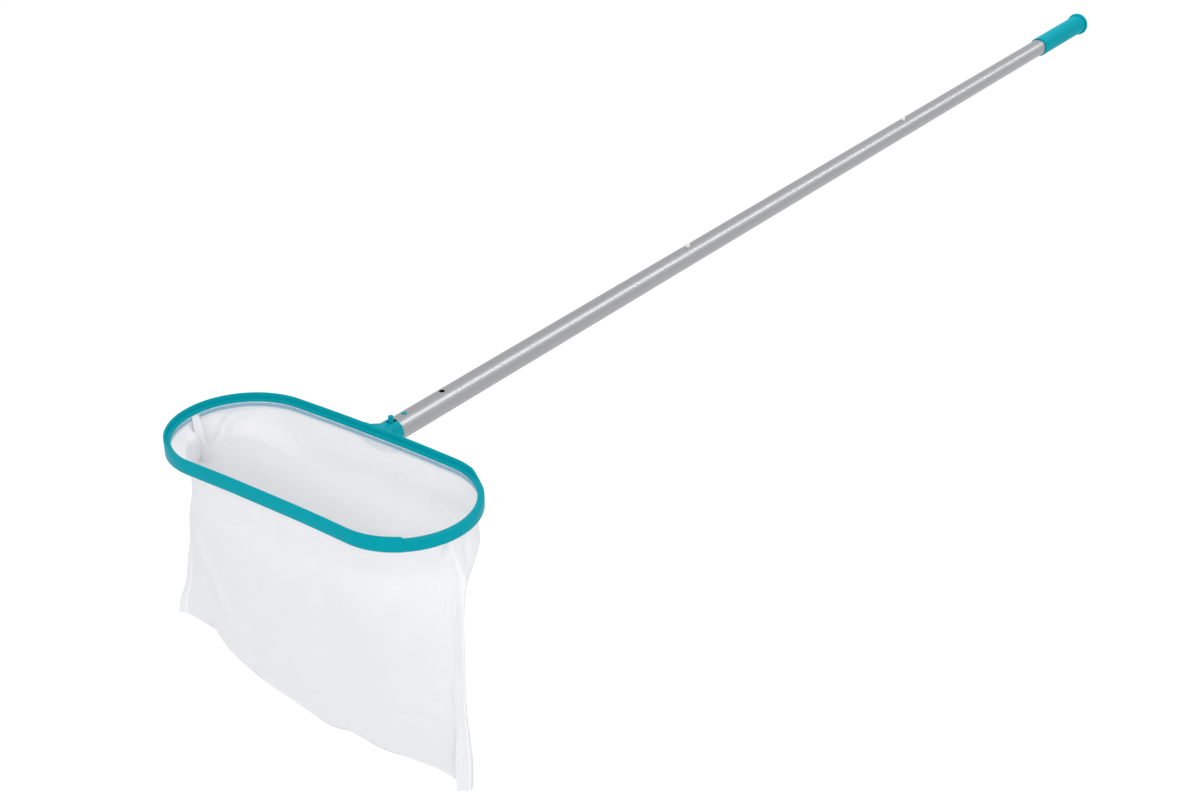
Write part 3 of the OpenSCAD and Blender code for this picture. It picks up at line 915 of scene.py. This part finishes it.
def buildFlap(name, side):
    # the seam's allowance, two layers of mesh that stand out along each side of the bag
    columns, rows = net["columns"], net["rows"]
    around, across = 2 * columns, seamFlap["across"]
    first = around - 1 if side > 0 else columns - 1
    whole = seamFlap["width"][side > 0]
    leans, widths = ("rightLean", "rightWidth") if side > 0 else ("leftLean", "leftWidth")
    high, often, offset = seamFlap["ripple"]
    places = []
    for j in range(rows + 1):
        t = rowShare(j)
        width = whole * smoothValue(seamFlap[widths], t)
        lean = math.radians(smoothValue(seamFlap[leans], t))
        reached = bagCloth.data.vertices[j * around + first].co.copy()
        for k in range(across + 1):
            share = k / across
            if k > 0:
                turn = lean * ease(share * seamFlap["turn"])
                forward = -math.sin(abs(turn)) if lean > 0 or side > 0 else math.sin(-turn)
                reached = reached + Vector((side * math.cos(turn), forward, 0)) * width / across
            ripple = high * math.sin(t * often + side * offset) * share ** 2
            places.append(reached + Vector((0, ripple, 0)))

    def measure(i, j):
        # the right allowance is gathered and doubled at its top
        least, start, length = seamFlap["gather"]
        gather = least + (1 - least) * ease((j / rows - start) / length) if side > 0 else 1
        return i * whole / across * gather, j * seamFlap["rowLength"]

    flap = clothPiece(name, places, *gridFaces(range(1, rows), across), measure)
    editAll(flap)
    bpy.ops.mesh.delete_loose()
    endEdit()
    thicken(flap, seamFlap["thick"], 60)
    return flap


innerTab = {
    # the end of the left allowance, caught under the hem and turned into the bag
    # edges as (x, y from the hoop's middle, z below the lip): on the wall, in the fold and free
    "wall": [(-0.2195, -0.001, -0.0099), (-0.2195, -0.001, -0.0202), (-0.219, -0.001, -0.0329),
             (-0.219, -0.001, -0.0467), (-0.219, 0, -0.0623), (-0.219, 0.004, -0.08)],
    "fold": [(-0.2165, -0.001, -0.0099), (-0.213, -0.0033, -0.0202), (-0.2105, -0.0042, -0.0329),
             (-0.2095, -0.0039, -0.0467), (-0.2095, -0.0003, -0.0623), (-0.2105, 0.006, -0.079)],
    "free": [(-0.216, 0.0086, -0.0134), (-0.209, 0.0052, -0.0255), (-0.2045, 0.0042, -0.0375),
             (-0.2025, 0.0059, -0.0531), (-0.2025, 0.0086, -0.067), (-0.206, 0.0082, -0.0786)],
    "rows": 30,
    "across": 4,
    "measure": (0.0005, 0.0024),  # length of a face across and down
}


def tabEdge(edge, share):
    places = innerTab[edge]
    return Vector([smoothValue([(k / (len(places) - 1), p[axis]) for k, p in enumerate(places)], share)
                   for axis in range(3)])


def buildTab():
    rows, across = innerTab["rows"], innerTab["across"]
    places = []
    for j in range(rows + 1):
        wall, fold, free = (tabEdge(edge, j / rows) for edge in ("wall", "fold", "free"))
        for k in range(2 * across + 1):
            share = k / across
            place = wall.lerp(fold, share) if share <= 1 else fold.lerp(free, share - 1)
            places.append(place + Vector((0, hoop["centreY"], hoop["top"])))
    wide, long = innerTab["measure"]
    tab = clothPiece("seamTab", places, *gridFaces(range(rows), 2 * across),
                     lambda i, j: (i * wide, j * long))
    thicken(tab, seamFlap["thick"], 60)
    return tab


leftFlap = buildFlap("leftSeamFlap", -1)
rightFlap = buildFlap("rightSeamFlap", 1)
tab = buildTab()
pickOnly(leftFlap)
tab.select_set(True)
bpy.ops.object.join()

hem = {
    "inner": 0.0063,      # faces of the band, inwards from the hoop's outside
    "outer": 0.0028,
    "topZ": -0.0078,
    "bottomZ": -0.0186,
    "belly": (0.0004, 0.001),     # how far the inner face stands out, and how far below its middle
    "corner": (0.0008, 0.0012),   # width and height of the bottom corners
    "gathers": (95, 0.6, 0.00035),  # how often along and across, and how deep they are
    "sag": (40, 0.0003),          # the same of its height
    "thick": 0.0004,
    "rowLength": 0.003,
    "steps": 360,
}


def buildHem():
    # a soft band round the whole hoop, with small gathers
    whole, steps = outlineLength(0), hem["steps"]
    inner, outer, top, bottom = hem["inner"], hem["outer"], hem["topZ"], hem["bottomZ"]
    wide, high = hem["corner"]
    stands, below = hem["belly"]
    ring = [(inner, top), (inner + stands, (top + bottom) / 2 - below), (inner, bottom + high),
            (inner - wide, bottom), (outer + wide, bottom), (outer, bottom + high), (outer, top)]
    often, across, deep = hem["gathers"]
    sagOften, sagDeep = hem["sag"]
    places = []
    for i in range(steps):
        distance = whole * i / steps
        for k, (inset, v) in enumerate(ring):
            gather = noise.noise(Vector((distance * often, k * across, 3))) * deep
            sag = noise.noise(Vector((distance * sagOften, 7, 1))) * sagDeep
            p = outlinePoint(distance * outlineLength(inset) / whole, inset + gather)
            place = Vector((p.x, hoop["centreY"] + p.y, hoop["top"] + v + sag))
            flexHoop(place)
            places.append(place)
    faces, corners = gridFaces(range(steps), len(ring) - 1)
    faces = [[corner % len(places) for corner in face] for face in faces]  # the last row joins the first
    band = clothPiece("hemBand", places, faces, corners,
                      lambda k, i: (i * whole / steps, k * hem["rowLength"]))
    faceOutwards(band)
    thicken(band, hem["thick"], 50)
    return band


hemBand = buildHem()
for node, piece, material, slot in (
        ("net_bag", bagCloth, bagMesh, "mesh"),
        ("left_seam", leftFlap, seamMesh, "seam"),
        ("right_seam", rightFlap, seamMesh, "seam"),
        ("net_hem", hemBand, hemMesh, "mesh")):
    dress(piece, material, slot)
    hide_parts(node)
    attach(piece, "skimmer")
print("net made")


# ---- socket, latch, tubes, buttons and grip

# each node with its piece, material, slot, body and the width of its rounded edges
rigidPieces = {
    "pole_socket": ("socketBody", tealPlastic, "socket", "skimmer", 0.0006),
    "latch_tongue": ("latchBody", tealPlastic, "socket", "latch", 0.0004),
    "lower_tube": ("lowerTubeBody", poleMetal, "tube", "skimmer", 0.0003),
    "middle_tube": ("middleTubeBody", poleMetal, "tube", "skimmer", 0.0003),
    "upper_tube": ("upperTubeBody", poleMetal, "tube", "skimmer", 0.0003),
    "lower_snap_button": ("lowerButtonBody", whiteNylon, "nylon", "lower_button", 0.0003),
    "upper_snap_button": ("upperButtonBody", whiteNylon, "nylon", "upper_button", 0.0003),
    "grip": ("gripBody", gripVinyl, "grip", "skimmer", 0.0005),
}
saddle = {
    "halfWidth": 0.029,
    "heights": (-0.012, 0.0165),
    "corner": (0.0095, 7),   # radius and steps of the rounding
    "rim": (0.0011, 3),
    "rimFrom": 0.0252,       # from the middle, where the rim is clear of the socket
    "near": 0.0002,          # how close an edge lies to the measures above
    "shortest": 0.002,       # of the corner edges
    "sharp": 1,              # angle of the rim's edges at least, in radians
}


def roundSaddle(piece):
    # the saddle's four corners are well rounded, and so is the rim on the pole's side
    halfWidth, near = saddle["halfWidth"], saddle["near"]
    rear = max(vertex.co.y for vertex in piece.data.vertices if abs(vertex.co.x) > halfWidth - 5 * near)

    def atCorner(edge, first, last):
        atSide = min(abs(first.x), abs(last.x)) > halfWidth - near
        atHeight = any(max(abs(first.z - z), abs(last.z - z)) < near for z in saddle["heights"])
        return atSide and atHeight and abs(first.y - last.y) > saddle["shortest"]

    def atRim(edge, first, last):
        middle = (first + last) / 2
        atRear = min(first.y, last.y) > rear - near / 2 and max(first.y, last.y) < rear + near / 2
        outline = abs(middle.x) > saddle["rimFrom"] or middle.z > saddle["heights"][1] - 1.5 * near
        return atRear and outline and edge.calc_face_angle(0) > saddle["sharp"]

    editAll(piece)
    bpy.ops.mesh.select_mode(type="EDGE")
    for chosen, (width, segments) in ((atCorner, saddle["corner"]), (atRim, saddle["rim"])):
        bpy.ops.mesh.select_all(action="DESELECT")
        mesh = bmesh.from_edit_mesh(piece.data)
        for edge in mesh.edges:
            edge.select_set(chosen(edge, edge.verts[0].co, edge.verts[1].co))
        bmesh.update_edit_mesh(piece.data)
        bpy.ops.mesh.bevel(offset=width, segments=segments, affect="EDGES")
    endEdit()


for node, (name, material, slot, body, width) in rigidPieces.items():
    piece = copyNode(node, name)
    if node == "pole_socket":
        roundSaddle(piece)
    roundEdges(piece, width)
    if slot in ("tube", "grip"):
        # the long walls set the shading, so the rounded ends don't bend it
        applyModifier(piece, "WEIGHTED_NORMAL", keep_sharp=True)
    dress(piece, material, slot)
    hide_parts(node)
    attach(piece, body)

screws = {
    "across": (-0.022, 0.022),
    "height": 0.006,
    "rim": 0.0006,
    "recess": (0.0034, 0.0008, 0.0011),  # length, width and depth of one bar of the cross
}


def buildScrews():
    # domed heads, each with a cross recess
    piece = copyNode("socket_screws", "screwBodies")
    roundEdges(piece, screws["rim"], segments=3)
    face = max(vertex.co.y for vertex in piece.data.vertices)
    length, width, depth = screws["recess"]
    for x in screws["across"]:
        for bar in ((length, 2 * depth, width), (width, 2 * depth, length)):
            deselectAll()
            bpy.ops.mesh.primitive_cube_add(size=1, location=(x, face, screws["height"]), scale=bar)
            bpy.ops.object.transform_apply(location=True, rotation=False, scale=True)
            cutter = nameNew("recessCutter")
            applyModifier(piece, "BOOLEAN", object=cutter, operation="DIFFERENCE", solver="EXACT")
            bpy.data.objects.remove(cutter)
    smoothPiece(piece)
    return piece


screwBodies = buildScrews()
dress(screwBodies, plainSteel, "steel")
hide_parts("socket_screws")
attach(screwBodies, "skimmer")

springs = {
    "pieces": {"lower_button_spring": ("lowerSpringBody", "lower_button_press"),
               "upper_button_spring": ("upperSpringBody", "upper_button_press")},
    "edge": 0.0001,
    "travel": 0.006,
}
for node, (name, joint) in springs["pieces"].items():
    piece = copyNode(node, name)
    roundEdges(piece, springs["edge"])
    dress(piece, plainSteel, "steel")
    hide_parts(node)
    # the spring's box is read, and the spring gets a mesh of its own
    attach(piece, "skimmer")
    # a leaf spring closes up as its button goes in
    low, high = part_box(node)
    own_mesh(piece)
print("pole and fittings made")


# ---- floor, light and camera

studio = {
    "floorZ": -0.75,
    "floorSize": 80,
    "floorPaper": {"Base Color": (0.86, 0.86, 0.87, 1), "Roughness": 0.9, "Specular IOR Level": 0.0,
                   "Emission Color": (1, 1, 1, 1)},
    "floorGlow": 0.21,
    "air": (0.9, 0.1),   # its light, and what is added where it is looked at
    "cameraPlace": (1.347, -3.3573, 1.0886),
    "cameraTurn": (61.71, 0.157, 36.013),
    "lens": 55.84,
    "lamps": {
        "keyPanel": {"place": (2.4, -4.8, 2.2), "aim": (0, -1.9, -0.2),
                     "watts": 34, "size": (3.0, 3.0), "colour": (1, 0.99, 0.98)},
        # this one makes only the pole's highlight, and the next one none
        "stripPanel": {"place": (1.38, 1.2, 2.02), "turn": (0, 34.3, 0),
                       "watts": 54, "size": (0.52, 7.0), "off": "visible_diffuse"},
        "gripPanel": {"place": (-1.1, 0.3, 1.4), "aim": (0, 0, 0),
                      "watts": 13, "size": (0.8, 0.8), "off": "visible_glossy"},
    },
}


def seenFactor(tree):
    # 1 where the camera, a mirror or glass looks, and 0 for light
    path = tree.nodes.new("ShaderNodeLightPath").outputs
    seen = mathNode(tree, "MAXIMUM", path["Is Camera Ray"], path["Is Glossy Ray"])
    return mathNode(tree, "MAXIMUM", seen, path["Is Transmission Ray"])


def buildFloor():
    deselectAll()
    bpy.ops.mesh.primitive_plane_add(size=studio["floorSize"], location=(0, 0, studio["floorZ"]))
    bpy.ops.object.transform_apply(location=True)
    floor = nameNew("studioFloor")
    material = bpy.data.materials.new("palePaper")
    material.use_nodes = True
    tree = material.node_tree
    shader = tree.nodes["Principled BSDF"]
    setInputs(shader, studio["floorPaper"])
    glow = mathNode(tree, "MULTIPLY", seenFactor(tree), studio["floorGlow"])
    tree.links.new(glow, shader.inputs["Emission Strength"])
    floor.data.materials.append(material)


def buildAir():
    world = bpy.data.worlds.new("studioAir")
    scene.world = world
    world.use_nodes = True
    tree = world.node_tree
    background = tree.nodes["Background"]
    background.inputs["Color"].default_value = (1, 1, 1, 1)
    light, added = studio["air"]
    strength = mathNode(tree, "ADD", mathNode(tree, "MULTIPLY", seenFactor(tree), added), light)
    tree.links.new(strength, background.inputs["Strength"])


def addLamp(name, settings):
    data = bpy.data.lights.new(name, "AREA")
    data.shape = "RECTANGLE"
    data.size, data.size_y = settings["size"]
    data.energy = settings["watts"]
    data.color = settings.get("colour", (1, 1, 1))
    lamp = addObject(name, data)
    lamp.location = settings["place"]
    if "turn" in settings:
        lamp.rotation_euler = [math.radians(a) for a in settings["turn"]]
    else:
        way = Vector(settings["aim"]) - Vector(settings["place"])
        lamp.rotation_euler = way.to_track_quat("-Z", "Y").to_euler()
    if "off" in settings:
        setattr(lamp, settings["off"], False)


def addCamera():
    data = bpy.data.cameras.new("studioCamera")
    camera = addObject("studioCamera", data)
    camera.location = studio["cameraPlace"]
    camera.rotation_euler = [math.radians(a) for a in studio["cameraTurn"]]
    data.lens = studio["lens"]
    data.sensor_width = 36
    data.clip_start, data.clip_end = 0.05, 200
    scene.camera = camera


buildFloor()
buildAir()
for name, settings in studio["lamps"].items():
    addLamp(name, settings)
addCamera()
scene.view_settings.view_transform = "Standard"
print("studio made")
